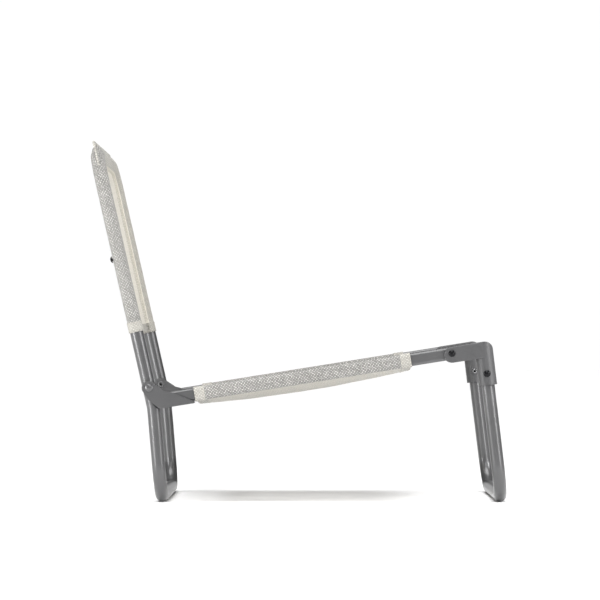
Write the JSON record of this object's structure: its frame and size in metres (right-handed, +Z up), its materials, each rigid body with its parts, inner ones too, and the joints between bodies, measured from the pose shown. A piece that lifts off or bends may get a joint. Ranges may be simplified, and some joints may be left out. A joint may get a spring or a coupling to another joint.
{
  "type": "folding sling chair",
  "caption": "Low armless folding sling chair: grey round-tube hoops and flat seat rails, plastic front elbows, pale woven seat and back slings; back and front legs fold.",
  "frame": {"origin": "centre of the overall box, on the floor", "axes": "+X towards the front legs, +Y towards the sitter's left, +Z up"},
  "size_m": [0.794, 0.5834, 0.6863],
  "materials": {
    "frame_paint": "satin grey powder coat",
    "elbow_plastic": "matt moulded grey nylon",
    "plug_plastic": "matt black nylon",
    "painted_rivet": "satin grey paint",
    "black_rivet": "gloss black",
    "bare_steel": "drawn tube, uncoated",
    "sling_cloth": "pale woven coated mesh"
  },
  "bodies": {
    "seat_frame": {"seat_rail_left": "frame_paint", "seat_rail_right": "frame_paint", "rail_front_plug_left": "plug_plastic", "rail_front_plug_right": "plug_plastic", "rail_rear_plug_left": "plug_plastic", "rail_rear_plug_right": "plug_plastic", "pivot_bracket_left": "frame_paint", "pivot_bracket_right": "frame_paint", "rear_pivot_rivet_left": "painted_rivet", "rear_pivot_rivet_right": "painted_rivet", "seat_crossbar_front": "frame_paint", "seat_crossbar_rear": "frame_paint", "seat_sling": "sling_cloth"},
    "back_frame": {"back_hoop": "frame_paint", "rear_leg_hoop": "frame_paint", "joint_insert_left": "bare_steel", "joint_insert_right": "bare_steel", "joint_rivet_left": "black_rivet", "joint_rivet_right": "black_rivet", "rear_pivot_bush_left": "plug_plastic", "rear_pivot_bush_right": "plug_plastic", "back_sling": "sling_cloth"},
    "front_legs": {"front_leg_hoop": "frame_paint", "elbow_left": "elbow_plastic", "elbow_right": "elbow_plastic", "front_pivot_rivet_left": "black_rivet", "front_pivot_rivet_right": "black_rivet", "sleeve_rivet_left": "black_rivet", "sleeve_rivet_right": "black_rivet"}
  },
  "joints": [
    {"name": "back_fold", "type": "hinge", "parent": "seat_frame", "child": "back_frame", "pos_m": [-0.28256, 0, 0.218], "axis": [0, 1, 0], "range_deg": [0, 90]},
    {"name": "front_leg_fold", "type": "hinge", "parent": "seat_frame", "child": "front_legs", "pos_m": [0.29054, 0, 0.2833], "axis": [0, 1, 0], "range_deg": [0, 88]}
  ]
}
